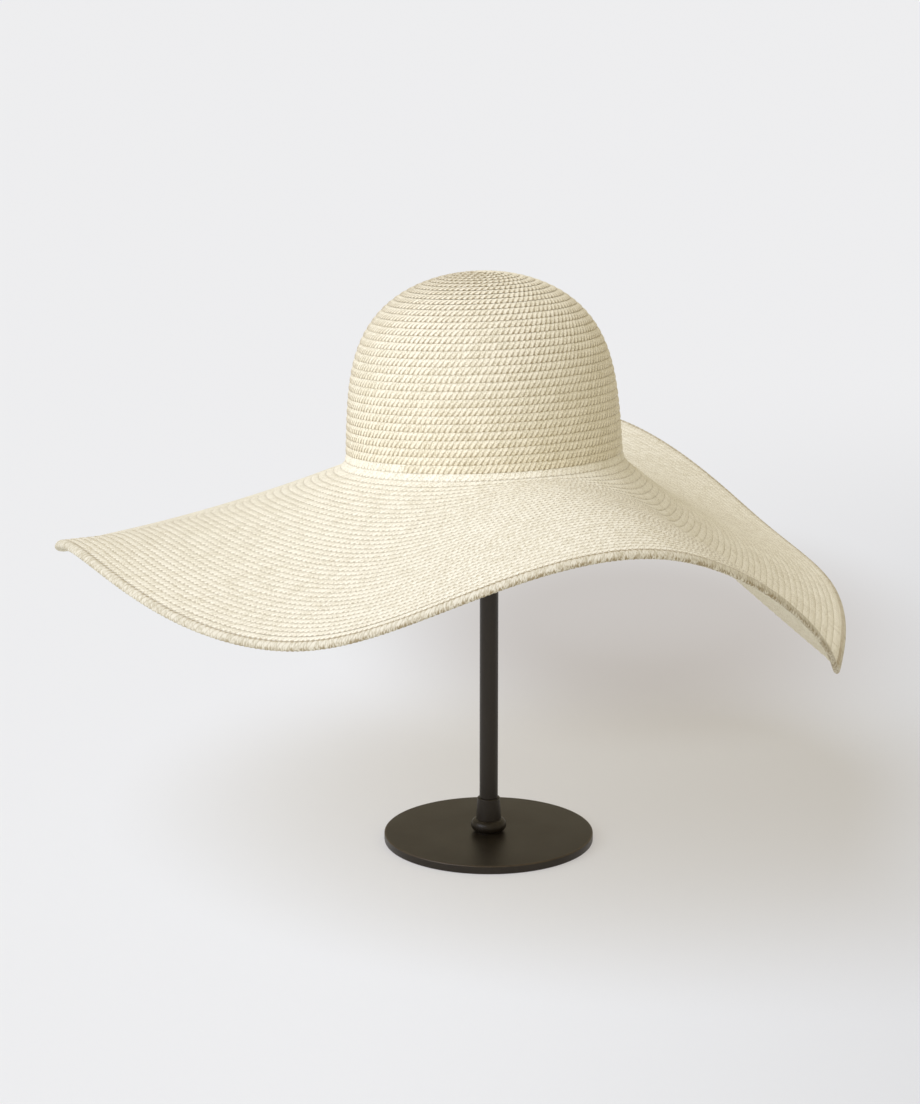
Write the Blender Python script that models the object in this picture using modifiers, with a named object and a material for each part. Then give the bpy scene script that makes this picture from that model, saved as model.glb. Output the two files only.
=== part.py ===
"""Straw capeline hat on a plain display stand.

Metres, +Z up, the front towards -Y. The origin is the centre of the stand's
underside. The hat is modelled in its own frame, whose origin is the centre of
the crown's foot, and that frame is set tilted on the stand.
"""

import math

import bmesh
import bpy
import numpy as np

# Hat: crown, a dome whose radius falls from its foot as a fourth-power oval
CROWN_RADIUS = 0.0925
CROWN_HEIGHT = 0.1265
CROWN_TAPER = 0.064
CROWN_FLATNESS = 4.0
WALL = 0.0022

# Hat: brim
BRIM_SLANT = 0.193
BRIM_TURN = 0.007
SEAM_LAP = 0.002

# Hat: folded braid round the brim's edge
EDGE_WIDTH = 0.0064
EDGE_THICKNESS = 0.0040
EDGE_TURNED_DOWN = math.radians(38.0)

# Hat: how it sits on the stand
HAT_HEIGHT = 0.2663
HAT_ASIDE = -0.0033
HAT_FORWARD = 0.002
HAT_TILTED_BACK = math.radians(6.8)
HAT_ROLLED = math.radians(1.5)

# Stand
BASE_RADIUS = 0.071
BASE_THICKNESS = 0.006
BASE_BEVEL = 0.001
POST_RADIUS = 0.00625
COLLAR_NECK_RADIUS = 0.00765
COLLAR_NECK_HEIGHT = 0.024
COLLAR_RING_RADIUS = 0.012
COLLAR_RING_HEIGHT = 0.009
REST_RADIUS = 0.038
REST_DOME_RADIUS = 0.070
REST_EDGE = 0.005

# Clearances between pieces
GAP = 0.0003
REST_CLEARANCE = 0.0008

# Facets
CROWN_SIDES = 48
CROWN_RINGS = 11
BRIM_SIDES = 72
TURN_RINGS = 3
BLADE_RINGS = 7
EDGE_SIDES = 8
MERGE = 0.00001

# The brim's folds, one row for each of sixteen directions round the crown:
# azimuth in degrees (0 is the wearer's left at +X, 270 the front), then how far
# the brim falls, in degrees, where it leaves the crown and where it ends
FOLDS = (
    # azimuth, fall at crown, fall at edge
    (0.0, 43.0, 42.0),
    (22.5, 37.0, 27.0),
    (45.0, 28.0, 14.0),
    (67.5, 17.0, -11.0),
    (90.0, 14.0, -14.0),
    (112.5, 20.0, 8.0),
    (135.0, 22.0, 16.0),
    (157.5, 21.0, 13.0),
    (180.0, 20.0, 8.0),
    (202.5, 20.0, -1.0),
    (225.0, 24.0, 13.0),
    (247.5, 24.0, 20.0),
    (270.0, 10.0, 12.0),
    (292.5, 1.0, 12.0),
    (315.0, 19.0, 25.0),
    (337.5, 42.0, 37.0),
)


def crown_radius(height):
    """Outer radius of the crown at a height above its foot."""
    share = height / CROWN_HEIGHT
    return CROWN_RADIUS * (1 - CROWN_TAPER * share) * np.sqrt(1 - share**CROWN_FLATNESS)


def round_spline(values, turns):
    """Smooth closed curve through evenly spaced values, read at shares of a turn."""
    count = len(values)
    step = 1.0 / count
    around = np.eye(count)
    before = np.roll(around, 1, axis=1)
    after = np.roll(around, -1, axis=1)
    bend = 6 * (after - 2 * around + before) @ values
    curvature = np.linalg.solve(before + 4 * around + after, bend)
    place = turns / step
    left = np.floor(place).astype(int) % count
    right = (left + 1) % count
    b = place - np.floor(place)
    a = 1 - b
    straight = a * values[left] + b * values[right]
    return straight + ((a**3 - a) * curvature[left] + (b**3 - b) * curvature[right]) / 6


def fold_slopes(turns):
    """Fall of the brim at the crown and at the edge, in radians, for each direction."""
    table = np.radians(np.array(FOLDS)[:, 1:])
    return round_spline(table[:, 0], turns), round_spline(table[:, 1], turns)


def brim_sections(turns):
    """Radius and height of each ring of the brim's upper face, ring by direction.

    A short lap under the crown's foot, a round turn outwards, then a blade whose
    fall goes evenly from its value at the crown to its value at the edge.
    """
    at_crown, at_edge = fold_slopes(turns)
    root = crown_radius(BRIM_TURN)
    top = BRIM_TURN + SEAM_LAP
    radii = [np.full_like(turns, crown_radius(top)), np.full_like(turns, root)]
    heights = [np.full_like(turns, top), np.full_like(turns, BRIM_TURN)]
    swing = math.pi / 2 - at_crown
    bend_radius = BRIM_TURN / np.tan(swing / 2)
    for share in np.linspace(0, 1, TURN_RINGS + 1)[1:]:
        radii.append(root + bend_radius * (1 - np.cos(share * swing)))
        heights.append(BRIM_TURN - bend_radius * np.sin(share * swing))
    start_radius, start_height = radii[-1], heights[-1]
    for share in np.linspace(0, 1, BLADE_RINGS + 1)[1:]:
        half_change = share * (at_edge - at_crown) / 2
        chord = share * (BRIM_SLANT - BRIM_TURN) * np.sinc(half_change / math.pi)
        radii.append(start_radius + chord * np.cos(at_crown + half_change))
        heights.append(start_height - chord * np.sin(at_crown + half_change))
    return np.array(radii), np.array(heights)


def edge_sections(turns):
    """Radius and height of each line of the edge's oval section."""
    radii, heights = brim_sections(turns)
    fall = fold_slopes(turns)[1]
    turned = fall + EDGE_TURNED_DOWN
    half_width, half_thickness = EDGE_WIDTH / 2, EDGE_THICKNESS / 2
    # How far the tilted oval bulges back past its inner end
    across = half_width * math.cos(EDGE_TURNED_DOWN)
    bulge = math.hypot(across, half_thickness * math.sin(EDGE_TURNED_DOWN)) - across
    out = GAP + bulge
    end_radius = radii[-1] + out * np.cos(fall) - WALL / 2 * np.sin(fall)
    end_height = heights[-1] - out * np.sin(fall) - WALL / 2 * np.cos(fall)
    angle = 2 * math.pi * np.arange(EDGE_SIDES)[:, None] / EDGE_SIDES
    along = half_width * (1 - np.cos(angle))
    up = half_thickness * np.sin(angle)
    return (
        end_radius + along * np.cos(turned) + up * np.sin(turned),
        end_height - along * np.sin(turned) + up * np.cos(turned),
    )


def loft(name, radii, heights, turns, closed):
    """Mesh through rings of points, round the axis and, if closed, back to the first."""
    angle = 2 * math.pi * turns
    points = np.stack([radii * np.cos(angle), radii * np.sin(angle), heights], axis=-1)
    rings, sides = radii.shape
    ring = np.arange(rings if closed else rings - 1)[:, None]
    side = np.arange(sides)[None, :]
    next_ring, next_side = (ring + 1) % rings, (side + 1) % sides
    corners = (
        ring * sides + side,
        next_ring * sides + side,
        next_ring * sides + next_side,
        ring * sides + next_side,
    )
    faces = np.stack(corners, axis=-1).reshape(-1, 4)
    mesh = bpy.data.meshes.new(name)
    mesh.from_pydata(points.reshape(-1, 3).tolist(), [], faces.tolist())
    mesh.update()
    return bpy.data.objects.new(name, mesh)


def turned_profile(name, points, sides, closed=False):
    """A profile of (radius, height) points, turned about Z by a Screw modifier."""
    mesh = bpy.data.meshes.new(name)
    count = len(points)
    edges = [(i, (i + 1) % count) for i in range(count if closed else count - 1)]
    mesh.from_pydata([(radius, 0.0, height) for radius, height in points], edges, [])
    turned = bpy.data.objects.new(name, mesh)
    screw = turned.modifiers.new("turn", "SCREW")
    screw.axis = "Z"
    screw.steps = sides
    screw.render_steps = sides
    screw.use_merge_vertices = True
    screw.merge_threshold = MERGE
    return turned


def add_wall(shell):
    """Give an open surface the straw's thickness, on its inner side."""
    wall = shell.modifiers.new("wall", "SOLIDIFY")
    wall.thickness = WALL
    wall.offset = -1.0
    wall.use_even_offset = True


def material(name, colour, roughness, metallic=0.0):
    """A Principled BSDF of one colour."""
    finish = bpy.data.materials.new(name)
    finish.use_nodes = True
    shader = finish.node_tree.nodes["Principled BSDF"]
    shader.inputs["Base Color"].default_value = (*colour, 1.0)
    shader.inputs["Roughness"].default_value = roughness
    shader.inputs["Metallic"].default_value = metallic
    return finish


def finish_piece(piece, collection, finish, parent=None):
    """Link a piece, give it its material and shade its round faces smooth."""
    collection.objects.link(piece)
    piece.data.materials.append(finish)
    piece.data.shade_smooth()
    piece.data.set_sharp_from_angle(angle=math.radians(40))
    piece.parent = parent
    return piece


def make_crown(collection, finish, hat):
    """Dome from its apex down to just above the brim's lap."""
    foot = BRIM_TURN + SEAM_LAP + GAP
    shares = np.linspace(0, 1, CROWN_RINGS + 1)
    # Heights bunch towards the apex, where the dome turns flat
    heights = foot + (CROWN_HEIGHT - foot) * (1 - shares**2.2)
    radii = crown_radius(heights)
    crown = turned_profile("crown", list(zip(radii.tolist(), heights.tolist())), CROWN_SIDES)
    add_wall(crown)
    finish_piece(crown, collection, finish, hat)


def make_brim(collection, finish, hat):
    """Wavy brim lofted through the fold table."""
    turns = np.arange(BRIM_SIDES) / BRIM_SIDES
    radii, heights = brim_sections(turns)
    brim = loft("brim", radii, heights, turns, closed=False)
    add_wall(brim)
    finish_piece(brim, collection, finish, hat)


def make_edge(collection, finish, hat):
    """Folded braid that follows the brim's outer edge."""
    turns = np.arange(BRIM_SIDES) / BRIM_SIDES
    radii, heights = edge_sections(turns)
    edge = loft("brim_edge", radii, heights, turns, closed=True)
    finish_piece(edge, collection, finish, hat)


def make_base(collection, finish):
    """Flat disc with a small bevel."""
    bpy.ops.mesh.primitive_cylinder_add(
        vertices=64, radius=BASE_RADIUS, depth=BASE_THICKNESS, location=(0, 0, BASE_THICKNESS / 2)
    )
    base = bpy.context.object
    base.name = "stand_base"
    for owner in list(base.users_collection):
        owner.objects.unlink(base)
    bevel = base.modifiers.new("round_rim", "BEVEL")
    bevel.width = BASE_BEVEL
    bevel.segments = 2
    bevel.limit_method = "ANGLE"
    finish_piece(base, collection, finish)


def make_collar(collection, finish):
    """Turned ferrule: a bulged ring at the foot and a straight neck round the post."""
    seat = BASE_THICKNESS + GAP
    bore = POST_RADIUS + GAP
    half_ring = COLLAR_RING_HEIGHT / 2
    swell = COLLAR_RING_RADIUS - COLLAR_NECK_RADIUS
    profile = [(bore, seat + COLLAR_NECK_HEIGHT), (COLLAR_NECK_RADIUS, seat + COLLAR_NECK_HEIGHT)]
    for angle in np.radians(np.linspace(80, -65, 7)):
        radius = COLLAR_NECK_RADIUS + swell * math.cos(angle)
        profile.append((radius, seat + half_ring * (1 + math.sin(angle))))
    foot_radius = profile[-1][0]
    profile += [(foot_radius, seat), (bore, seat)]
    collar = turned_profile("stand_collar", profile, 24, closed=True)
    finish_piece(collar, collection, finish)


def rest_centre_height():
    """Height of the centre of the rest's dome, nested in the round of the crown's top."""
    top_radius = 2 * (CROWN_RADIUS * (1 - CROWN_TAPER)) ** 2 / CROWN_HEIGHT
    axis = (
        -math.sin(HAT_ROLLED) * math.cos(HAT_TILTED_BACK),
        math.sin(HAT_TILTED_BACK),
        math.cos(HAT_ROLLED) * math.cos(HAT_TILTED_BACK),
    )
    reach = CROWN_HEIGHT - top_radius
    aside = HAT_ASIDE + reach * axis[0]
    back = -HAT_FORWARD + reach * axis[1]
    height = HAT_HEIGHT + reach * axis[2]
    between = top_radius - WALL - REST_DOME_RADIUS - REST_CLEARANCE
    return height + math.sqrt(between**2 - aside**2 - back**2)


def rest_underside():
    """Height of the rest's flat underside."""
    rim_drop = REST_DOME_RADIUS - math.sqrt(REST_DOME_RADIUS**2 - REST_RADIUS**2)
    return rest_centre_height() + REST_DOME_RADIUS - rim_drop - REST_EDGE


def make_post(collection, finish):
    """Plain round post from the foot to the rest."""
    low = BASE_THICKNESS + GAP
    high = rest_underside() - GAP
    bpy.ops.mesh.primitive_cylinder_add(
        vertices=24, radius=POST_RADIUS, depth=high - low, location=(0, 0, (high + low) / 2)
    )
    post = bpy.context.object
    post.name = "stand_post"
    for owner in list(post.users_collection):
        owner.objects.unlink(post)
    finish_piece(post, collection, finish)


def make_rest(collection, finish):
    """Plain dome that the crown's top lies on."""
    underside = rest_underside()
    centre = rest_centre_height()
    widest = math.asin(REST_RADIUS / REST_DOME_RADIUS)
    profile = []
    for angle in np.linspace(0, widest, 7):
        radius = REST_DOME_RADIUS * math.sin(angle)
        profile.append((radius, centre + REST_DOME_RADIUS * math.cos(angle)))
    profile += [(REST_RADIUS, underside), (0.0, underside)]
    rest = turned_profile("stand_rest", profile, 32)
    finish_piece(rest, collection, finish)


def clear_scene():
    """Remove whatever the file opened with."""
    for old in list(bpy.data.objects):
        bpy.data.objects.remove(old, do_unlink=True)


def main():
    """Build the hat and its stand."""
    clear_scene()
    collection = bpy.data.collections.new("capeline_hat_on_stand")
    bpy.context.scene.collection.children.link(collection)
    straw = material("straw_braid", (0.82, 0.74, 0.56), 0.75)
    edge_straw = material("straw_edge_braid", (0.78, 0.70, 0.50), 0.75)
    bronze = material("dark_bronze", (0.045, 0.036, 0.030), 0.38, 0.6)
    hat = bpy.data.objects.new("hat_frame", None)
    hat.location = (HAT_ASIDE, -HAT_FORWARD, HAT_HEIGHT)
    hat.rotation_euler = (-HAT_TILTED_BACK, -HAT_ROLLED, 0.0)
    collection.objects.link(hat)
    make_crown(collection, straw, hat)
    make_brim(collection, straw, hat)
    make_edge(collection, edge_straw, hat)
    make_base(collection, bronze)
    make_collar(collection, bronze)
    make_post(collection, bronze)
    make_rest(collection, bronze)


if __name__ == "__main__":
    main()
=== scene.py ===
"""Looks of a straw capeline hat on its display stand.

Laid out as an add-on and run as a script. Metres, +Z up, the hat's front towards
-Y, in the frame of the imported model. The hat is one long straw braid wound in a
spiral from the crown's apex to the brim's edge, each row lapped over the next.
"""

import math

import bpy
import numpy as np
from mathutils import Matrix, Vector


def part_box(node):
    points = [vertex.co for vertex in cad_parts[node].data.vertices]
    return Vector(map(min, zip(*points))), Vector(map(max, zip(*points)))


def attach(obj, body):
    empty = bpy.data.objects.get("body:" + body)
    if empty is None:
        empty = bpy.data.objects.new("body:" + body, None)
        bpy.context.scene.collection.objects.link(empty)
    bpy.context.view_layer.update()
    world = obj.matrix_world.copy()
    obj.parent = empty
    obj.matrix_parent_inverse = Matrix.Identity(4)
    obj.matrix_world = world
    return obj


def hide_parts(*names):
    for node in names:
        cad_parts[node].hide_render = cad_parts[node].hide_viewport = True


bl_info = {
    "name": "Straw capeline hat",
    "version": (1, 0, 0),
    "blender": (4, 5, 0),
    "location": "3D View > Sidebar > Hat",
    "description": "Makes a sewn straw hat, its stand and the scene round them",
    "category": "Object",
}

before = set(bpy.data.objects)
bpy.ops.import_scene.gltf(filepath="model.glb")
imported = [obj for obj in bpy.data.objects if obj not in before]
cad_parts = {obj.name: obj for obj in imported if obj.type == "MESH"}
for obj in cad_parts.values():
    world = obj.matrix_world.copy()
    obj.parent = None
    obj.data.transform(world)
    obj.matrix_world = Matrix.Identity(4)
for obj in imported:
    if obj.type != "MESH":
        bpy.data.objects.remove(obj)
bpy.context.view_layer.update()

MM = 0.001
TURN = 2 * math.pi

# The hat's form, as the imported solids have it
CROWN_RADIUS = 0.0925
CROWN_HEIGHT = 0.1265
CROWN_TAPER = 0.064
CROWN_FLATNESS = 4.0
WALL = 0.0022
BRIM_SLANT = 0.193
BRIM_TURN = 0.007
EDGE_WIDTH = 0.0064
EDGE_THICKNESS = 0.0040
EDGE_TURNED_DOWN = math.radians(38.0)
HAT_HEIGHT = 0.2663
HAT_ASIDE = -0.0033
HAT_FORWARD = 0.002
HAT_TILTED_BACK = math.radians(6.8)
HAT_ROLLED = math.radians(1.5)
GAP = 0.0003

# The brim's folds: azimuth, then its fall in degrees at the crown and at the edge
FOLDS = (
    # azimuth, fall at crown, fall at edge
    (0.0, 43.0, 42.0),
    (22.5, 37.0, 27.0),
    (45.0, 28.0, 14.0),
    (67.5, 17.0, -11.0),
    (90.0, 14.0, -14.0),
    (112.5, 20.0, 8.0),
    (135.0, 22.0, 16.0),
    (157.5, 21.0, 13.0),
    (180.0, 20.0, 8.0),
    (202.5, 20.0, -1.0),
    (225.0, 24.0, 13.0),
    (247.5, 24.0, 20.0),
    (270.0, 10.0, 12.0),
    (292.5, 1.0, 12.0),
    (315.0, 19.0, 25.0),
    (337.5, 42.0, 37.0),
)

# Across the braid, from its side nearer the apex to its outer side: place on the
# braid's width, then depth below its face as a share of its thickness
BRAID_SECTION = (
    # place, depth
    (-0.50, 0.55),
    (-0.30, 0.08),
    (0.00, 0.00),
    (0.30, 0.06),
    (0.50, 0.45),
    (0.34, 1.00),
    (-0.34, 1.00),
)
FACE_POINTS = 5

# Steps along the braid, points round the edge's oval, and how far plaits lean
CROWN_STEP = 0.93 * MM
BRIM_STEP = 1.25 * MM
EDGE_STEP = 0.62 * MM
EDGE_POINTS = 20
STITCH_LEAN = 1.05
EDGE_LEAN = 3.0
BRIM_PIECES = ("brim_rows_inner", "brim_rows_middle", "brim_rows_outer")

# The spiral: where it starts as a share of the pitch, steps a turn, how far its last
# row reaches past the brim's end and is tucked under, and where the crown is cut in two
SPIRAL_START = 0.42
SPIRAL_STEPS = 720
LAST_ROW_OUT = 0.7 * MM
LAST_ROW_TUCK = 0.22 * MM
CROWN_CUT = 0.62

# On the brim the plaits are calmer, from this far past the crown's foot
BRIM_BEGINS = 20 * MM
BRIM_CALM = 0.45
SCALLOP = 0.035
UNDERSIDE_RELIEF = 0.6

# The knot at the apex: its radius, half its thickness, its middle below the apex
BUTTON_RADIUS = 3.7 * MM
BUTTON_HALF = 0.9 * MM
BUTTON_SUNK = 0.95 * MM

# The stand's bevels and turned forms, and the painted highlight on the rim of its foot
FOOT_BEVEL = 1.0 * MM
FOOT_RIM_OUT = (69.6 * MM, 70.4 * MM)
FOOT_RIM_UP = (4.8 * MM, 5.6 * MM)
COLLAR_RADIUS = 12.0 * MM
COLLAR_NECK = 7.65 * MM
COLLAR_RING = 9.0 * MM
COLLAR_LIP = 0.7 * MM
REST_DOME = 70.0 * MM
REST_LIP = 1.5 * MM

# The floor: its reach, its fall below the foot, and where painted shade darkens it towards the right and
# the near side
FLOOR_REACH = 30.0
FLOOR_DROP = 0.1 * MM
FLOOR_RIGHT = (-0.15, 0.50)
FLOOR_NEAR = (1.4, 0.3)
FLOOR_PAINTED_SHADE = 0.84

# Painted shadow on the floor behind the stand: its middle and reach, and what it leaves of the colour
PAINTED_SHADOW_MIDDLE = (0.125, 0.52, 0.0)
PAINTED_SHADOW_REACH = (0.27, 0.36, 1.0)
PAINTED_SHADOW_TONE = (0.69, 0.655, 0.62)

# Light from all round, and soft light from a window high on the left
SKY_COLOUR = (1.0, 0.885, 0.65, 1.0)
SKY_STRENGTH = 0.49
WINDOW_STRENGTH = 2.42
WINDOW_SPREAD = math.radians(60)
WINDOW_COLOUR = (0.89, 0.97, 1.25)
WINDOW_TURN = (math.radians(22.4), math.radians(-36.4), 0.0)

# The camera, as the photograph was taken: its lens, place and fall below level
CAMERA_LENS = 135.0
CAMERA_PLACE = (-0.0195, -2.6643, 0.9494)
CAMERA_FALL = math.radians(15.65)


class CapelineSizes(bpy.types.PropertyGroup):
    """Sizes of the braid and its stitches."""

    row_pitch: bpy.props.FloatProperty(
        name="Row pitch", description="From one row to the next", default=5.3 * MM, unit="LENGTH"
    )
    braid_width: bpy.props.FloatProperty(
        name="Braid width", description="Width of the sewn braid", default=6.4 * MM, unit="LENGTH"
    )
    braid_thickness: bpy.props.FloatProperty(
        name="Braid thickness", description="Thickness of the braid", default=1.15 * MM, unit="LENGTH"
    )
    crown_lap: bpy.props.FloatProperty(
        name="Crown lap", description="Sinking of a row's inner side", default=0.8 * MM, unit="LENGTH"
    )
    brim_lap: bpy.props.FloatProperty(
        name="Brim lap", description="The same on the flatter brim", default=0.56 * MM, unit="LENGTH"
    )
    stitch: bpy.props.FloatProperty(
        name="Stitch", description="Length of one plait", default=3.7 * MM, unit="LENGTH"
    )
    relief: bpy.props.FloatProperty(
        name="Relief", description="Height of one plait", default=0.16 * MM, unit="LENGTH"
    )
    edge_relief: bpy.props.FloatProperty(
        name="Edge relief", description="Height of the edge's plaits", default=0.42 * MM, unit="LENGTH"
    )


class CapelineColours(bpy.types.PropertyGroup):
    """Colours of the straw, the stand and the floor."""

    straw: bpy.props.FloatVectorProperty(
        name="Straw", description="Face of the braid", subtype="COLOR", default=(0.895, 0.83, 0.635)
    )
    # Painted light: a paler copy of the straw, for the brim's face turned up to the light
    brim_straw_painted_light: bpy.props.FloatVectorProperty(
        name="Pale straw", description="Face of the brim", subtype="COLOR", default=(0.92, 0.862, 0.69)
    )
    # Deep colour of the needle holes, and of the painted shade in laps, grooves, the edge's seam and its
    # underside
    straw_holes_and_painted_shade: bpy.props.FloatVectorProperty(
        name="Deep straw", description="Holes and laps", subtype="COLOR", default=(0.34, 0.255, 0.13)
    )
    bronze: bpy.props.FloatVectorProperty(
        name="Bronze", description="The stand's paint", subtype="COLOR", default=(0.020, 0.0150, 0.0095)
    )
    floor: bpy.props.FloatVectorProperty(
        name="Floor", description="The pale floor", subtype="COLOR", default=(0.440, 0.468, 0.460)
    )
    # Painted light: the floor's own glow, though it is no lamp
    floor_painted_glow: bpy.props.FloatVectorProperty(
        name="Floor glow", description="Light from the floor", subtype="COLOR", default=(0.41, 0.388, 0.388)
    )


def crown_radius(height):
    """Outer radius of the crown: a fourth-power oval, drawn in a little as it rises."""
    share = np.clip(height / CROWN_HEIGHT, 0, 1)
    return CROWN_RADIUS * (1 - CROWN_TAPER * share) * np.sqrt(1 - share**CROWN_FLATNESS)


def round_spline(values, turns):
    """Smooth closed cubic spline through evenly spaced values, read at shares of a turn."""
    count = len(values)
    around = np.eye(count)
    before = np.roll(around, 1, axis=1)
    after = np.roll(around, -1, axis=1)
    bend = 6 * (after - 2 * around + before) @ values
    curvature = np.linalg.solve(before + 4 * around + after, bend)
    place = turns * count
    left = np.floor(place).astype(int) % count
    right = (left + 1) % count
    b = place - np.floor(place)
    a = 1 - b
    straight = a * values[left] + b * values[right]
    return straight + ((a**3 - a) * curvature[left] + (b**3 - b) * curvature[right]) / 6


def fold_slopes(turns):
    """Fall of the brim at the crown and at the edge, in radians."""
    table = np.radians(np.array(FOLDS)[:, 1:])
    return round_spline(table[:, 0], turns), round_spline(table[:, 1], turns)


def crown_line():
    """Distance from the apex, radius and height, down the crown to the brim's turn."""
    share = np.linspace(0, 1, 4001)
    height = CROWN_HEIGHT - (CROWN_HEIGHT - BRIM_TURN) * share**2
    radius = crown_radius(height)
    steps = np.hypot(np.diff(radius), np.diff(height))
    return np.concatenate([[0.0], np.cumsum(steps)]), radius, height


CROWN_LINE = crown_line()
CROWN_LENGTH = CROWN_LINE[0][-1]


def brim_section(distance, turns):
    """Radius and height on the brim, at a distance from its root.

    A round turn outwards, then a blade whose fall goes evenly from its value at
    the crown to its value at the edge, so its section is an arc and any stretch
    of it is a chord of that arc.
    """
    at_crown, at_edge = fold_slopes(turns)
    root = float(crown_radius(BRIM_TURN))
    swing = math.pi / 2 - at_crown
    bend = BRIM_TURN / np.tan(swing / 2)
    angle = np.minimum(distance / bend, swing)
    radius = root + bend * (1 - np.cos(angle))
    height = BRIM_TURN - bend * np.sin(angle)
    beyond = np.maximum(distance - bend * swing, 0)
    half_change = beyond / (BRIM_SLANT - BRIM_TURN) * (at_edge - at_crown) / 2
    chord = beyond * np.sinc(half_change / math.pi)
    return (
        radius + chord * np.cos(at_crown + half_change),
        height - chord * np.sin(at_crown + half_change),
    )


def brim_length(turns):
    """Distance over the brim's face from its root to its end."""
    swing = math.pi / 2 - fold_slopes(turns)[0]
    return BRIM_TURN / np.tan(swing / 2) * swing + BRIM_SLANT - BRIM_TURN


BRIM_LENGTH = float(brim_length(np.arange(360) / 360).mean())
HAT_LENGTH = CROWN_LENGTH + BRIM_LENGTH


def hat_point(distance, turns):
    """Point of the hat's outer face, in the hat's own frame.

    distance is measured from the apex down the crown and out over the brim, where
    it is stretched a little so that its end lies on the brim's end everywhere.
    """
    on_crown = np.clip(distance, 0, CROWN_LENGTH)
    radius = np.interp(on_crown, CROWN_LINE[0], CROWN_LINE[1])
    height = np.interp(on_crown, CROWN_LINE[0], CROWN_LINE[2])
    past = np.maximum(distance - CROWN_LENGTH, 0) * brim_length(turns) / BRIM_LENGTH
    brim_radius, brim_height = brim_section(past, turns)
    on_brim = distance > CROWN_LENGTH
    radius = np.where(on_brim, brim_radius, radius)
    height = np.where(on_brim, brim_height, height)
    angle = TURN * turns
    return np.stack([radius * np.cos(angle), radius * np.sin(angle), height], axis=-1)


def unit(vectors):
    """Vectors scaled to length one."""
    return vectors / np.maximum(np.linalg.norm(vectors, axis=-1, keepdims=True), 1e-12)


def hat_normal(distance, turns):
    """Outward normal of the face: across its way down and its way round."""
    step, turn_step = 0.05 * MM, 1e-5
    down = hat_point(distance + step, turns) - hat_point(distance, turns)
    around = hat_point(distance, turns + turn_step) - hat_point(distance, turns - turn_step)
    return unit(np.cross(down, around))


def on_stand(points):
    """Turns and moves points from the hat's own frame to its place on the stand."""
    back, roll = -HAT_TILTED_BACK, -HAT_ROLLED
    tilt = np.array(
        [[1, 0, 0], [0, math.cos(back), -math.sin(back)], [0, math.sin(back), math.cos(back)]]
    )
    lean = np.array(
        [[math.cos(roll), 0, math.sin(roll)], [0, 1, 0], [-math.sin(roll), 0, math.cos(roll)]]
    )
    return points @ (lean @ tilt).T + np.array([HAT_ASIDE, -HAT_FORWARD, HAT_HEIGHT])


def new_piece(name, points, face_groups, uv_groups=None, material=None):
    """Mesh object from points and arrays of faces, one array for each number of corners."""
    mesh = bpy.data.meshes.new(name)
    corners = np.concatenate([faces.ravel() for faces in face_groups])
    sizes = np.concatenate([np.full(len(faces), faces.shape[1]) for faces in face_groups])
    mesh.vertices.add(len(points))
    mesh.vertices.foreach_set("co", points.astype(np.float32).ravel())
    mesh.loops.add(len(corners))
    mesh.loops.foreach_set("vertex_index", corners.astype(np.int32))
    mesh.polygons.add(len(sizes))
    starts = np.concatenate([[0], np.cumsum(sizes)[:-1]])
    mesh.polygons.foreach_set("loop_start", starts.astype(np.int32))
    mesh.update(calc_edges=True)
    if uv_groups is not None:
        layer = mesh.uv_layers.new(name="braid")
        flat = np.concatenate([uv.reshape(-1, 2) for uv in uv_groups])
        layer.data.foreach_set("uv", flat.astype(np.float32).ravel())
    mesh.validate()
    mesh.shade_smooth()
    mesh.set_sharp_from_angle(angle=math.radians(60))
    piece = bpy.data.objects.new(name, mesh)
    bpy.context.scene.collection.objects.link(piece)
    if material is not None:
        mesh.materials.append(material)
    return piece


def settle(piece, nodes):
    """Rides the piece on the row's one body, in place of CAD nodes."""
    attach(piece, "root")
    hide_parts(*nodes)
    return piece


def spiral():
    """Where the braid's middle line runs: distance from the apex, turns and length.

    It leaves the apex clockwise as seen from above and moves out by one pitch a
    turn. Its last turn stays level under the brim's end, so the hat ends evenly.
    """
    sizes = bpy.context.scene.capeline_sizes
    first = SPIRAL_START * sizes.row_pitch
    last = HAT_LENGTH - sizes.braid_width / 2 + LAST_ROW_OUT
    rows = (last - first) / sizes.row_pitch
    wound = np.arange(0, rows + 1, 1 / SPIRAL_STEPS)
    distance = np.minimum(first + sizes.row_pitch * wound, last)
    line = hat_point(distance, -wound)
    steps = np.linalg.norm(np.diff(line, axis=0), axis=1)
    length = np.concatenate([[0.0], np.cumsum(steps)])
    return distance, wound, length


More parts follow.
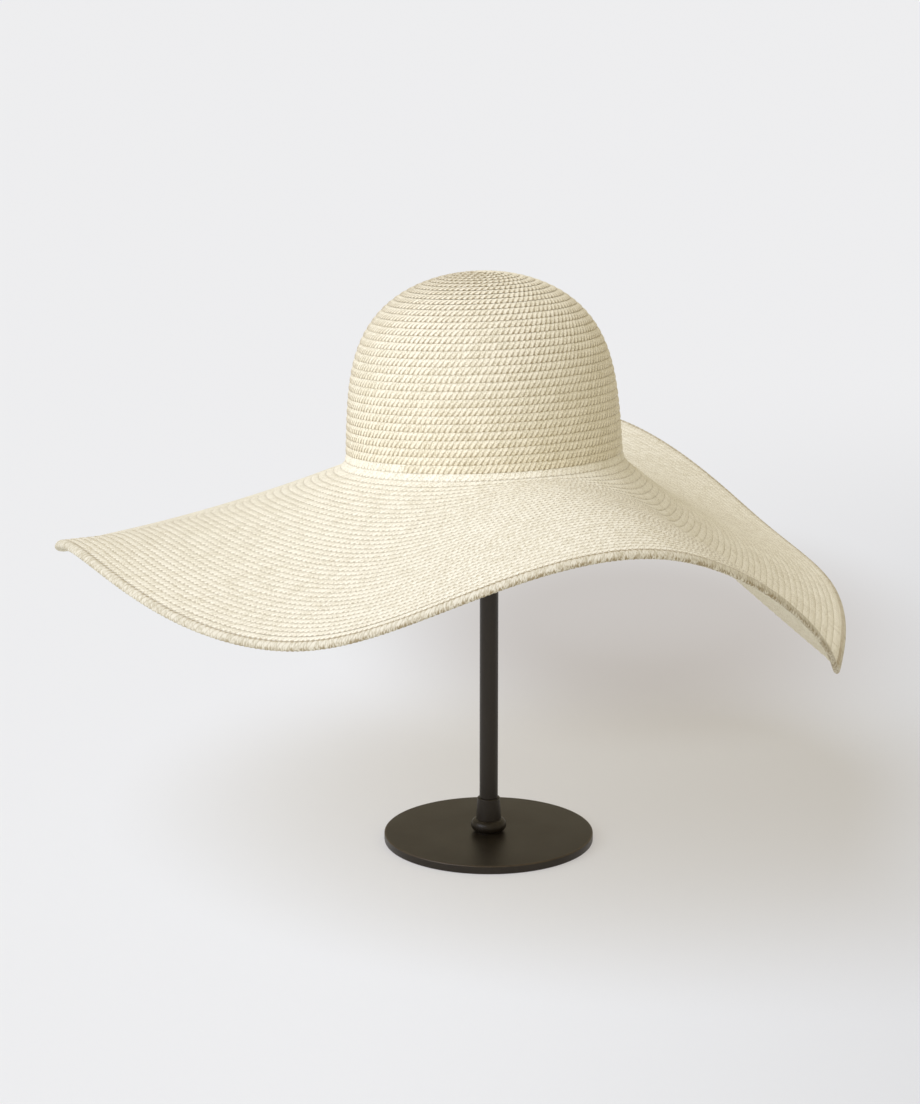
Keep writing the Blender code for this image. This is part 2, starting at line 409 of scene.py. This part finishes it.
def braid_piece(name, start, end, step, nodes, material):
    """One stretch of the spiral braid, from start to end along its length.

    Its section is carried along the spiral. The inner side of each row sinks by
    the lap, and the face rises and falls as a leaning wave, one for each plait.
    """
    sizes = bpy.context.scene.capeline_sizes
    distance, wound, length = spiral()
    last = distance[-1]
    count = int(round((end - start) / step))
    along = np.linspace(start, end, count + 1)
    middle = np.interp(along, length, distance)
    turns = -np.interp(along, length, wound)
    place, depth = np.array(BRAID_SECTION).T
    size = len(place)
    phase = along[:, None] / sizes.stitch - STITCH_LEAN * place[None, :]
    wave = np.cos(TURN * phase)
    scallop = 1 + SCALLOP * wave
    across = middle[:, None] + place[None, :] * sizes.braid_width * scallop
    across = np.clip(across, 0.25 * MM, HAT_LENGTH + 0.9 * MM)
    turns = np.broadcast_to(turns[:, None], across.shape)
    # Share of the way from the crown's foot onto the open brim
    out = np.clip((middle - CROWN_LENGTH) / BRIM_BEGINS, 0, 1)[:, None]
    face = 1 - (2 * np.abs(place)) ** 2
    on_face = np.arange(size) < FACE_POINTS
    rise = sizes.relief * wave * np.where(on_face, face, -UNDERSIDE_RELIEF * face)[None, :]
    rise = rise * (1 - BRIM_CALM * out)
    lap = sizes.crown_lap + (sizes.brim_lap - sizes.crown_lap) * out
    sink = lap * (0.5 - place)[None, :] + sizes.braid_thickness * depth[None, :]
    # The level last turn is tucked under the row before it
    tuck = LAST_ROW_TUCK * np.clip((middle - last) / (0.2 * MM) + 1, 0, 1)
    offset = rise - sink - tuck[:, None]
    points = hat_point(across, turns) + hat_normal(across, turns) * offset[..., None]
    quads, caps = tube_faces(count + 1, size)
    along_uv = along[:, None] * np.ones(size + 1)
    around_uv = np.broadcast_to(section_uv(), (count + 1, size + 1))
    uv = np.stack([along_uv, around_uv], axis=-1)
    quad_uv = np.stack([uv[:-1, :-1], uv[:-1, 1:], uv[1:, 1:], uv[1:, :-1]], axis=2)
    cap_uv = np.stack([uv[0, :-1], uv[-1, :-1][::-1]])
    points = on_stand(points).reshape(-1, 3)
    piece = new_piece(name, points, [quads, caps], [quad_uv, cap_uv], material)
    return settle(piece, nodes)


def section_uv():
    """Place round the braid's section: 0 to 1 over its face, 1 to 2 back underneath."""
    place = np.array(BRAID_SECTION)[:, 0] + 0.5
    under = np.arange(len(place)) >= FACE_POINTS
    return np.append(np.where(under, 2 - place, place), 2.0)


def tube_faces(stations, size):
    """Faces round a tube of so many stations and section points, with its two caps."""
    station = np.arange(stations - 1)[:, None]
    spot = np.arange(size)[None, :]
    after = (spot + 1) % size
    a = station * size + spot
    b = station * size + after
    quads = np.stack([a, b, b + size, a + size], axis=-1).reshape(-1, 4)
    first = np.arange(size)[::-1]
    final = (stations - 1) * size + np.arange(size)
    return quads, np.stack([first, final])


def crown_button(material):
    """Small knot of braid that closes the spiral's middle at the crown's apex.

    A flattened sphere: rings of latitude between two poles.
    """
    sides, levels = 24, 7
    middle = CROWN_HEIGHT - BUTTON_SUNK
    angle = TURN * np.arange(sides) / sides
    latitude = np.linspace(math.pi / 2, -math.pi / 2, levels)[1:-1, None]
    radius = BUTTON_RADIUS * np.cos(latitude)
    rise = np.broadcast_to(middle + BUTTON_HALF * np.sin(latitude), (levels - 2, sides))
    body = np.stack([radius * np.cos(angle), radius * np.sin(angle), rise], axis=-1)
    poles = np.array([[0, 0, middle + BUTTON_HALF], [0, 0, middle - BUTTON_HALF]])
    points = on_stand(np.concatenate([body.reshape(-1, 3), poles]))
    faces, fans = ring_faces(sides, levels - 2)
    uv = [np.stack([np.arange(faces.size) * 0.1 * MM, np.full(faces.size, 0.5)], axis=-1)]
    uv.append(np.full((fans.size, 2), 0.5))
    piece = new_piece("crown_button", points, [faces, fans], uv, material)
    settle(piece, ["crown"])


def ring_faces(sides, rings):
    """Faces over rings of points that run from top to bottom, and fans to both poles."""
    spot = np.arange(sides)
    after = (spot + 1) % sides
    row = np.arange(rings - 1)[:, None] * sides
    quads = np.stack([row + spot, row + sides + spot, row + sides + after, row + after], axis=-1)
    top, last = rings * sides, (rings - 1) * sides
    upper = np.stack([np.full(sides, top), spot, after], axis=-1)
    lower = np.stack([np.full(sides, top + 1), last + after, last + spot], axis=-1)
    return quads.reshape(-1, 4), np.concatenate([upper, lower])


class CAPELINE_OT_crown(bpy.types.Operator):
    """Make the crown from the first rows of the braid"""

    bl_idname = "capeline.crown"
    bl_label = "Crown"

    def execute(self, context):
        material = crown_material()
        distance, _, length = spiral()
        half = float(np.interp(CROWN_LENGTH * CROWN_CUT, distance, length))
        foot = float(np.interp(CROWN_LENGTH, distance, length))
        crown_button(material)
        braid_piece("crown_rows_upper", 0.0, half, CROWN_STEP, ["crown"], material)
        braid_piece("crown_rows_lower", half, foot, CROWN_STEP, ["crown"], material)
        return {"FINISHED"}


class CAPELINE_OT_brim(bpy.types.Operator):
    """Make the brim from the rest of the braid"""

    bl_idname = "capeline.brim"
    bl_label = "Brim"

    def execute(self, context):
        material = brim_material()
        distance, _, length = spiral()
        foot = float(np.interp(CROWN_LENGTH, distance, length))
        cuts = np.linspace(foot, length[-1], len(BRIM_PIECES) + 1)
        for name, start, end in zip(BRIM_PIECES, cuts[:-1], cuts[1:]):
            braid_piece(name, float(start), float(end), BRIM_STEP, ["brim"], material)
        return {"FINISHED"}


def edge_oval(turns, angle, rise):
    """Points of the edge braid's oval section, swollen by rise, in the hat's frame."""
    length = brim_length(turns)
    radius, height = brim_section(length, turns)
    fall = fold_slopes(turns)[1]
    turned = fall + EDGE_TURNED_DOWN
    half_width, half_thickness = EDGE_WIDTH / 2, EDGE_THICKNESS / 2
    across = half_width * math.cos(EDGE_TURNED_DOWN)
    bulge = math.hypot(across, half_thickness * math.sin(EDGE_TURNED_DOWN)) - across
    out = GAP + bulge
    radius = radius + out * np.cos(fall) - WALL / 2 * np.sin(fall)
    height = height - out * np.sin(fall) - WALL / 2 * np.cos(fall)
    along = half_width - (half_width + rise) * np.cos(angle)
    up = (half_thickness + rise) * np.sin(angle)
    radius = radius + along * np.cos(turned) + up * np.sin(turned)
    height = height - along * np.sin(turned) + up * np.cos(turned)
    heading = TURN * turns
    return np.stack([radius * np.cos(heading), radius * np.sin(heading), height], axis=-1)


class CAPELINE_OT_edge(bpy.types.Operator):
    """Make the folded braid round the brim's edge"""

    bl_idname = "capeline.edge"
    bl_label = "Brim edge"

    def execute(self, context):
        sizes = context.scene.capeline_sizes
        fine = np.arange(3601) / 3600
        line = edge_oval(fine, 0.0, 0.0)
        steps = np.linalg.norm(np.diff(line, axis=0), axis=1)
        length = np.concatenate([[0.0], np.cumsum(steps)])
        plaits = round(length[-1] / sizes.stitch)
        count = int(round(length[-1] / EDGE_STEP))
        along = np.linspace(0, length[-1], count + 1)[:, None]
        turns = np.interp(along, length, fine)
        angle = -TURN * np.arange(EDGE_POINTS)[None, :] / EDGE_POINTS
        phase = along / length[-1] * plaits + EDGE_LEAN * angle / TURN
        # Plaits rise above the oval, and the grooves between them sink below it
        ridge = np.abs(np.cos(math.pi * phase)) ** 0.8
        rise = sizes.edge_relief * (ridge - 0.6)
        points = edge_oval(turns, angle, rise)[:-1]
        station = np.arange(count)[:, None]
        spot = np.arange(EDGE_POINTS)[None, :]
        a = station * EDGE_POINTS + spot
        b = station * EDGE_POINTS + (spot + 1) % EDGE_POINTS
        across = ((station + 1) % count - station) * EDGE_POINTS
        quads = np.stack([a, b, b + across, a + across], axis=-1).reshape(-1, 4)
        uv_along = np.broadcast_to(along, (count + 1, EDGE_POINTS + 1))
        uv_round = np.broadcast_to(np.arange(EDGE_POINTS + 1) / EDGE_POINTS, uv_along.shape)
        uv = np.stack([uv_along, uv_round], axis=-1)
        quad_uv = np.stack([uv[:-1, :-1], uv[:-1, 1:], uv[1:, 1:], uv[1:, :-1]], axis=2)
        points = on_stand(points).reshape(-1, 3)
        material = edge_material()
        piece = new_piece("brim_edge_plait", points, [quads], [quad_uv], material)
        settle(piece, ["brim_edge"])
        return {"FINISHED"}


def socket(tree, target, value):
    """Sets an input to a number or joins an output to it."""
    if isinstance(value, bpy.types.NodeSocket):
        tree.links.new(value, target)
    else:
        target.default_value = value


def node(tree, kind, inputs=None, **settings):
    """Adds a node with its settings and inputs."""
    made = tree.nodes.new(kind)
    for key, value in settings.items():
        setattr(made, key, value)
    for key, value in (inputs or {}).items():
        socket(tree, made.inputs[key], value)
    return made


def calc(tree, operation, *values):
    """Adds a Math node and gives its output."""
    made = tree.nodes.new("ShaderNodeMath")
    made.operation = operation
    for target, value in zip(made.inputs, values):
        socket(tree, target, value)
    return made.outputs[0]


def spread(tree, value, low, high):
    """Smooth step of a value from 0 at low to 1 at high."""
    made = node(tree, "ShaderNodeMapRange", {0: value, 1: low, 2: high}, interpolation_type="SMOOTHSTEP")
    return made.outputs[0]


def blend(tree, share, first, second):
    """Mix of two colours."""
    made = node(tree, "ShaderNodeMix", data_type="RGBA")
    socket(tree, made.inputs["Factor"], share)
    socket(tree, made.inputs[6], first)
    socket(tree, made.inputs[7], second)
    return made.outputs[2]


def group(name, inputs, outputs):
    """A node group with named sockets, and its input and output nodes."""
    tree = bpy.data.node_groups.new(name, "ShaderNodeTree")
    for label, kind, default in inputs:
        made = tree.interface.new_socket(label, in_out="INPUT", socket_type=kind)
        if default is not None:
            made.default_value = default
    for label, kind in outputs:
        tree.interface.new_socket(label, in_out="OUTPUT", socket_type=kind)
    return tree, tree.nodes.new("NodeGroupInput"), tree.nodes.new("NodeGroupOutput")


def plait_group():
    """Relief, dark places and tone of the plaited braid, from its length and width."""
    tree, given, result = group(
        "plait",
        [
            ("Vector", "NodeSocketVector", None),
            ("Stitch", "NodeSocketFloat", 0.0037),
            ("Lean", "NodeSocketFloat", 0.75),
            ("Width", "NodeSocketFloat", 0.0064),
            ("Line", "NodeSocketFloat", 0.62),
            ("Groove", "NodeSocketFloat", 0.46),
            ("Notch", "NodeSocketFloat", 0.0),
        ],
        [("Height", "NodeSocketFloat"), ("Dark", "NodeSocketFloat"), ("Tone", "NodeSocketFloat")],
    )
    split = node(tree, "ShaderNodeSeparateXYZ", {0: given.outputs["Vector"]})
    across = calc(tree, "PINGPONG", split.outputs[1], 1.0)
    level = calc(tree, "MULTIPLY", split.outputs[1], given.outputs["Width"])
    place = node(tree, "ShaderNodeCombineXYZ", {0: split.outputs[0], 1: level})
    speckle = node(
        tree, "ShaderNodeTexNoise", {"Vector": place.outputs[0], "Scale": 950.0, "Detail": 2.5}
    )
    drift = node(
        tree, "ShaderNodeTexNoise", {"Vector": place.outputs[0], "Scale": 210.0, "Detail": 1.0}
    )
    # Plaits lean across the braid and are a little uneven
    along = calc(tree, "DIVIDE", split.outputs[0], given.outputs["Stitch"])
    along = calc(tree, "MULTIPLY_ADD", drift.outputs[0], 0.5, along)
    leaning = calc(tree, "MULTIPLY", across, given.outputs["Lean"])
    phase = calc(tree, "SUBTRACT", along, leaning)
    wave = calc(tree, "ABSOLUTE", calc(tree, "COSINE", calc(tree, "MULTIPLY", phase, math.pi)))
    middle = calc(tree, "MULTIPLY", across, calc(tree, "SUBTRACT", 1.0, across))
    crest = calc(tree, "POWER", calc(tree, "MULTIPLY", calc(tree, "MULTIPLY", middle, 4.0), wave), 0.5)
    height = calc(tree, "MULTIPLY_ADD", speckle.outputs[0], 0.9, crest)
    tree.links.new(height, result.inputs["Height"])
    # Needle holes lie where the grooves between plaits meet the braid's sides
    # Painted shade: the grooves between plaits and the braid's sides, where the rows lap, are darkened
    groove = spread(tree, wave, 0.50, 0.05)
    hole = calc(tree, "MULTIPLY", spread(tree, wave, 0.85, 0.3), spread(tree, middle, 0.17, 0.09))
    side = spread(tree, middle, 0.085, 0.01)
    side = calc(tree, "MULTIPLY", side, given.outputs["Line"])
    side = calc(tree, "MULTIPLY", side, spread(tree, speckle.outputs[0], 0.68, 0.40))
    dark = calc(tree, "MAXIMUM", calc(tree, "MULTIPLY", groove, given.outputs["Groove"]), side)
    dark = calc(tree, "MAXIMUM", dark, hole)
    # Notches between plaits widen towards the row's outer side
    widening = calc(tree, "MULTIPLY_ADD", across, -0.45, wave)
    notch = calc(tree, "MULTIPLY", spread(tree, widening, 0.42, 0.12), spread(tree, across, 0.42, 0.60))
    notch = calc(tree, "MULTIPLY", notch, given.outputs["Notch"])
    dark = calc(tree, "MAXIMUM", dark, notch)
    tree.links.new(dark, result.inputs["Dark"])
    number = node(tree, "ShaderNodeTexWhiteNoise", noise_dimensions="1D")
    tree.links.new(calc(tree, "ROUND", phase), number.inputs["W"])
    tone = calc(tree, "MULTIPLY_ADD", number.outputs["Value"], 0.4, -1.40)
    tone = calc(tree, "MULTIPLY_ADD", speckle.outputs[0], 3.4, tone)
    tree.links.new(tone, result.inputs["Tone"])
    return tree


def edge_painted_shade(tree, place, round_oval, tone):
    """Painted shade on the edge band: a painted shadow in the seam where it is sewn on, and painted shade
    on its underside.

    Both are fainter at the left tip, and the seam is fainter at the back.
    """
    where = node(tree, "ShaderNodeSeparateXYZ", {0: place})
    aside = calc(tree, "MULTIPLY_ADD", spread(tree, where.outputs[0], -0.24, -0.06), 0.75, 0.25)
    ahead = calc(tree, "MULTIPLY_ADD", spread(tree, where.outputs[1], 0.02, -0.10), 0.7, 0.3)
    # Painted shadow in the seam's gap
    seam = calc(tree, "MULTIPLY", spread(tree, round_oval, 0.84, 0.90), 0.90)
    seam = calc(tree, "MULTIPLY", seam, calc(tree, "MULTIPLY", aside, ahead))
    # Painted shade on the band's underside
    away = calc(tree, "ABSOLUTE", calc(tree, "SUBTRACT", round_oval, 0.47))
    below = calc(tree, "MULTIPLY", spread(tree, away, 0.27, 0.13), 0.85)
    below = calc(tree, "MULTIPLY", below, aside)
    mottle = spread(tree, tone, 0.85, 0.15)
    return calc(tree, "MAXIMUM", seam, calc(tree, "MULTIPLY", below, mottle))


def straw_shader(name, light, bump, dark, plaits):
    """Straw material: plaited relief, dark holes, painted shade in the grooves and laps, and a slow change
    of tone.

    light is the face's colour, bump the strength of the relief, dark the share of the
    deep colour in the dark places, and plaits the settings of the plait group.
    """
    deep = (*bpy.context.scene.capeline_colours.straw_holes_and_painted_shade, 1.0)
    material = bpy.data.materials.new(name)
    material.use_nodes = True
    tree = material.node_tree
    shader = tree.nodes["Principled BSDF"]
    surface = node(tree, "ShaderNodeUVMap", uv_map="braid")
    plait = node(tree, "ShaderNodeGroup")
    plait.node_tree = bpy.data.node_groups.get("plait") or plait_group()
    tree.links.new(surface.outputs[0], plait.inputs["Vector"])
    plait.inputs["Stitch"].default_value = bpy.context.scene.capeline_sizes.stitch
    for label, value in plaits.items():
        plait.inputs[label].default_value = value
    space = node(tree, "ShaderNodeTexCoord")
    place = {"Vector": space.outputs["Object"]}
    cloud = node(tree, "ShaderNodeTexNoise", {**place, "Scale": 14.0, "Detail": 3.0})
    darker = [part * share for part, share in zip(light, (0.74, 0.71, 0.61))]
    paler = [min(1.0, part * 1.10) for part in light]
    tone = calc(tree, "MULTIPLY_ADD", cloud.outputs[0], 0.5, plait.outputs["Tone"])
    face = blend(tree, tone, (*darker, 1.0), (*paler, 1.0))
    share = calc(tree, "MULTIPLY", plait.outputs["Dark"], dark)
    # The dark places are slightly stronger and weaker over the hat
    share = calc(tree, "MULTIPLY", share, calc(tree, "MULTIPLY_ADD", cloud.outputs[0], 1.2, 0.4))
    split = node(tree, "ShaderNodeSeparateXYZ", {0: surface.outputs[0]})
    if name == "straw_edge":
        # Painted shadow in the edge band's seam and painted shade on its underside
        seam = edge_painted_shade(tree, space.outputs["Object"], split.outputs[1], plait.outputs["Tone"])
        share = calc(tree, "MAXIMUM", share, seam)
    else:
        # The inside of the hat is a little deeper in tone
        inside = calc(tree, "MULTIPLY", spread(tree, split.outputs[1], 1.0, 1.2), 0.22)
        share = calc(tree, "MAXIMUM", share, inside)
    tree.links.new(blend(tree, share, face, deep), shader.inputs["Base Color"])
    raised = node(
        tree,
        "ShaderNodeBump",
        {"Height": plait.outputs["Height"], "Strength": bump, "Distance": 0.3 * MM},
    )
    tree.links.new(raised.outputs[0], shader.inputs["Normal"])
    shader.inputs["Roughness"].default_value = 0.6
    shader.inputs["Specular IOR Level"].default_value = 0.35
    return material


def crown_material():
    """The crown's braid, with dark needle holes and notches along its rows."""
    light = tuple(bpy.context.scene.capeline_colours.straw)
    plaits = {"Lean": STITCH_LEAN, "Line": 0.55, "Groove": 0.28, "Notch": 0.62}
    return straw_shader("straw_crown", light, 1.0, 0.85, plaits)


def brim_material():
    """The brim's braid, in a paler copy of the straw as painted light for its face turned up to the light,
    and with fainter holes.
    """
    light = tuple(bpy.context.scene.capeline_colours.brim_straw_painted_light)
    plaits = {"Lean": STITCH_LEAN, "Line": 1.0, "Groove": 0.34, "Notch": 0.0}
    return straw_shader("straw_brim", light, 0.60, 0.50, plaits)


def edge_material():
    """The edge braid's material: the straw darkened as painted shade, for the band turned down away from
    the light.
    """
    light = tuple(part * 0.80 for part in bpy.context.scene.capeline_colours.straw)
    plaits = {"Lean": EDGE_LEAN, "Line": 0.0, "Groove": 0.42, "Notch": 0.0}
    return straw_shader("straw_edge", light, 0.9, 0.7, plaits)


def bronze_material():
    """Satin dark bronze paint with a fine grain, and a painted highlight on the foot's upper rim."""
    colours = bpy.context.scene.capeline_colours
    material = bpy.data.materials.new("dark_bronze")
    material.use_nodes = True
    tree = material.node_tree
    shader = tree.nodes["Principled BSDF"]
    space = node(tree, "ShaderNodeTexCoord")
    place = {"Vector": space.outputs["Object"]}
    grain = node(tree, "ShaderNodeTexNoise", {**place, "Scale": 2600.0, "Detail": 2.0})
    cloud = node(tree, "ShaderNodeTexNoise", {**place, "Scale": 40.0, "Detail": 4.0})
    base = tuple(colours.bronze)
    warm = tuple(min(1.0, part * 1.5) for part in base)
    split = node(tree, "ShaderNodeSeparateXYZ", {0: space.outputs["Object"]})
    flat = node(tree, "ShaderNodeCombineXYZ", {0: split.outputs[0], 1: split.outputs[1]})
    away = node(tree, "ShaderNodeVectorMath", {0: flat.outputs[0]}, operation="LENGTH")
    # Painted highlight: the foot's upper rim is paler, a bright line of light along its edge
    painted_rim_highlight = calc(
        tree,
        "MULTIPLY",
        spread(tree, away.outputs["Value"], *FOOT_RIM_OUT),
        spread(tree, split.outputs[2], *FOOT_RIM_UP),
    )
    painted_rim_highlight = calc(tree, "MULTIPLY", painted_rim_highlight, calc(tree, "MULTIPLY_ADD", cloud.outputs[0], 0.9, 0.2))
    rough = calc(tree, "MULTIPLY_ADD", cloud.outputs[0], 0.12, 0.34)
    paint = blend(tree, cloud.outputs[0], (*base, 1.0), (*warm, 1.0))
    painted_highlight_colour = tuple(part * 5 for part in base)
    tree.links.new(blend(tree, painted_rim_highlight, paint, (*painted_highlight_colour, 1.0)), shader.inputs["Base Color"])
    tree.links.new(rough, shader.inputs["Roughness"])
    raised = node(
        tree, "ShaderNodeBump", {"Height": grain.outputs[0], "Strength": 0.25, "Distance": 0.05 * MM}
    )
    tree.links.new(raised.outputs[0], shader.inputs["Normal"])
    shader.inputs["Metallic"].default_value = 0.35
    return material


def turned(name, profile, sides, nodes, material):
    """A closed profile of (radius, height) rows, turned about the stand's axis.

    The profile runs from the axis at the top, down the outside, back to the axis.
    """
    radius, height = np.array(profile, dtype=float).T
    angle = TURN * np.arange(sides) / sides
    ring = np.stack(
        [radius[1:-1, None] * np.cos(angle), radius[1:-1, None] * np.sin(angle)], axis=-1
    )
    levels = np.broadcast_to(height[1:-1, None, None], (*ring.shape[:2], 1))
    body = np.concatenate([ring, levels], axis=-1).reshape(-1, 3)
    poles = np.array([[0.0, 0.0, height[0]], [0.0, 0.0, height[-1]]])
    points = np.concatenate([body, poles])
    quads, fans = ring_faces(sides, len(radius) - 2)
    piece = new_piece(name, points, [quads, fans], material=material)
    return settle(piece, nodes)


def rounded(centre_radius, centre_height, size, start, end, count=8):
    """Points of an arc in a profile, from one angle to another in degrees."""
    angle = np.radians(np.linspace(start, end, count))
    return list(zip(centre_radius + size * np.cos(angle), centre_height + size * np.sin(angle)))


class CAPELINE_OT_stand(bpy.types.Operator):
    """Make the stand's foot, collar, post and rest"""

    bl_idname = "capeline.stand"
    bl_label = "Stand"

    def execute(self, context):
        metal = bronze_material()
        low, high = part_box("stand_base")
        radius, top, bevel = high[0], high[2], FOOT_BEVEL
        profile = [(0, top), (radius * 0.5, top)]
        profile += rounded(radius - bevel, top - bevel, bevel, 90, 0)
        profile += rounded(radius - bevel, low[2] + bevel, bevel, 0, -90)
        profile += [(radius * 0.5, low[2]), (0, low[2])]
        turned("foot_disc", profile, 256, ["stand_base"], metal)

        low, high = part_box("stand_collar")
        half, lip = COLLAR_RING / 2, COLLAR_LIP
        profile = [(0, high[2])]
        profile += rounded(COLLAR_NECK - lip, high[2] - lip, lip, 90, 0)
        angles = np.radians(np.linspace(78, -65, 24))
        swell = COLLAR_RADIUS - COLLAR_NECK
        profile += [
            (COLLAR_NECK + swell * math.cos(a), low[2] + half * (1 + math.sin(a)))
            for a in angles
        ]
        profile += [(profile[-1][0], low[2]), (0, low[2])]
        turned("post_collar", profile, 96, ["stand_collar"], metal)

        low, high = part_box("stand_post")
        radius = high[0]
        profile = [(0, high[2]), (radius, high[2]), (radius, low[2]), (0, low[2])]
        turned("post_rod", profile, 96, ["stand_post"], metal)

        low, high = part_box("stand_rest")
        dome, lip = REST_DOME, REST_LIP
        widest = math.asin((high[0] - lip * 0.4) / dome)
        centre = high[2] - dome
        angles = np.linspace(0, widest, 28)
        profile = [(dome * math.sin(a), centre + dome * math.cos(a)) for a in angles]
        profile += [(high[0], low[2] + lip)]
        profile += rounded(high[0] - lip, low[2] + lip, lip, 0, -90)
        profile += [(0, low[2])]
        turned("rest_dome", profile, 128, ["stand_rest"], metal)
        return {"FINISHED"}


def floor_material():
    """Pale paper floor with a painted glow that lifts its shadows, painted shade to the right and a painted
    shadow behind the stand.
    """
    colours = bpy.context.scene.capeline_colours
    material = bpy.data.materials.new("pale_floor")
    material.use_nodes = True
    tree = material.node_tree
    shader = tree.nodes["Principled BSDF"]
    space = node(tree, "ShaderNodeTexCoord")
    split = node(tree, "ShaderNodeSeparateXYZ", {0: space.outputs["Object"]})
    # Painted shade: the floor is darker towards the right and the near side
    right = spread(tree, split.outputs[0], *FLOOR_RIGHT)
    near = spread(tree, split.outputs[1], *FLOOR_NEAR)
    share = calc(tree, "MULTIPLY", right, near)
    # Painted shadow: the floor is darkened round a middle point behind the stand
    behind = node(
        tree,
        "ShaderNodeVectorMath",
        {0: space.outputs["Object"], 1: PAINTED_SHADOW_MIDDLE},
        operation="SUBTRACT",
    )
    behind = node(
        tree, "ShaderNodeVectorMath", {0: behind.outputs[0], 1: PAINTED_SHADOW_REACH}, operation="DIVIDE"
    )
    away = node(tree, "ShaderNodeVectorMath", {0: behind.outputs[0]}, operation="LENGTH")
    dim = spread(tree, away.outputs["Value"], 1.0, 0.3)
    for target, colour in (("Base Color", colours.floor), ("Emission Color", colours.floor_painted_glow)):
        full = (*colour, 1.0)
        deep = (*[part * FLOOR_PAINTED_SHADE for part in colour], 1.0)
        painted_shadow_colour = (*[part * left for part, left in zip(colour, PAINTED_SHADOW_TONE)], 1.0)
        paper = blend(tree, share, full, deep)
        tree.links.new(blend(tree, dim, paper, painted_shadow_colour), shader.inputs[target])
    # Painted light: the floor glows, though it is no lamp, which lifts its shade
    shader.inputs["Emission Strength"].default_value = 1.0
    shader.inputs["Roughness"].default_value = 0.9
    shader.inputs["Specular IOR Level"].default_value = 0.1
    return material


class CAPELINE_OT_stage(bpy.types.Operator):
    """Make the floor, the lights and the camera"""

    bl_idname = "capeline.stage"
    bl_label = "Stage"

    def execute(self, context):
        scene = context.scene
        corners = np.array([[-1, -1, 0], [1, -1, 0], [1, 1, 0], [-1, 1, 0]]) * FLOOR_REACH
        corners[:, 2] = -FLOOR_DROP
        material = floor_material()
        floor = new_piece("floor", corners, [np.array([[0, 1, 2, 3]])], material=material)

        world = bpy.data.worlds.new("studio")
        world.use_nodes = True
        sky = world.node_tree.nodes["Background"]
        sky.inputs["Color"].default_value = SKY_COLOUR
        sky.inputs["Strength"].default_value = SKY_STRENGTH
        scene.world = world

        sun = bpy.data.lights.new("window_light", "SUN")
        sun.energy = WINDOW_STRENGTH
        sun.angle = WINDOW_SPREAD
        sun.color = WINDOW_COLOUR
        lamp = bpy.data.objects.new("window_light", sun)
        lamp.rotation_euler = WINDOW_TURN
        scene.collection.objects.link(lamp)

        camera = bpy.data.cameras.new("camera")
        camera.lens = CAMERA_LENS
        camera.sensor_width = 36.0
        camera.clip_end = 200.0
        holder = bpy.data.objects.new("camera", camera)
        holder.location = CAMERA_PLACE
        holder.rotation_euler = (math.pi / 2 - CAMERA_FALL, 0, 0)
        scene.collection.objects.link(holder)
        scene.camera = holder
        scene.view_settings.view_transform = "Standard"
        return {"FINISHED"}


class CAPELINE_PT_panel(bpy.types.Panel):
    """Lists the steps that make the hat"""

    bl_idname = "CAPELINE_PT_panel"
    bl_label = "Straw capeline hat"
    bl_space_type = "VIEW_3D"
    bl_region_type = "UI"
    bl_category = "Hat"

    def draw(self, context):
        for step in STEPS:
            self.layout.operator(step.bl_idname)
        for name in CapelineSizes.__annotations__:
            self.layout.prop(context.scene.capeline_sizes, name)
        for name in CapelineColours.__annotations__:
            self.layout.prop(context.scene.capeline_colours, name)


STEPS = (
    CAPELINE_OT_stage,
    CAPELINE_OT_crown,
    CAPELINE_OT_brim,
    CAPELINE_OT_edge,
    CAPELINE_OT_stand,
)
CLASSES = (CapelineSizes, CapelineColours, *STEPS, CAPELINE_PT_panel)


def register():
    for each in CLASSES:
        bpy.utils.register_class(each)
    bpy.types.Scene.capeline_sizes = bpy.props.PointerProperty(type=CapelineSizes)
    bpy.types.Scene.capeline_colours = bpy.props.PointerProperty(type=CapelineColours)


def unregister():
    del bpy.types.Scene.capeline_colours
    del bpy.types.Scene.capeline_sizes
    for each in reversed(CLASSES):
        bpy.utils.unregister_class(each)


def main():
    """Makes the stage and every piece."""
    register()
    bpy.ops.capeline.stage()
    bpy.ops.capeline.crown()
    bpy.ops.capeline.brim()
    bpy.ops.capeline.edge()
    bpy.ops.capeline.stand()


if __name__ == "__main__":
    main()
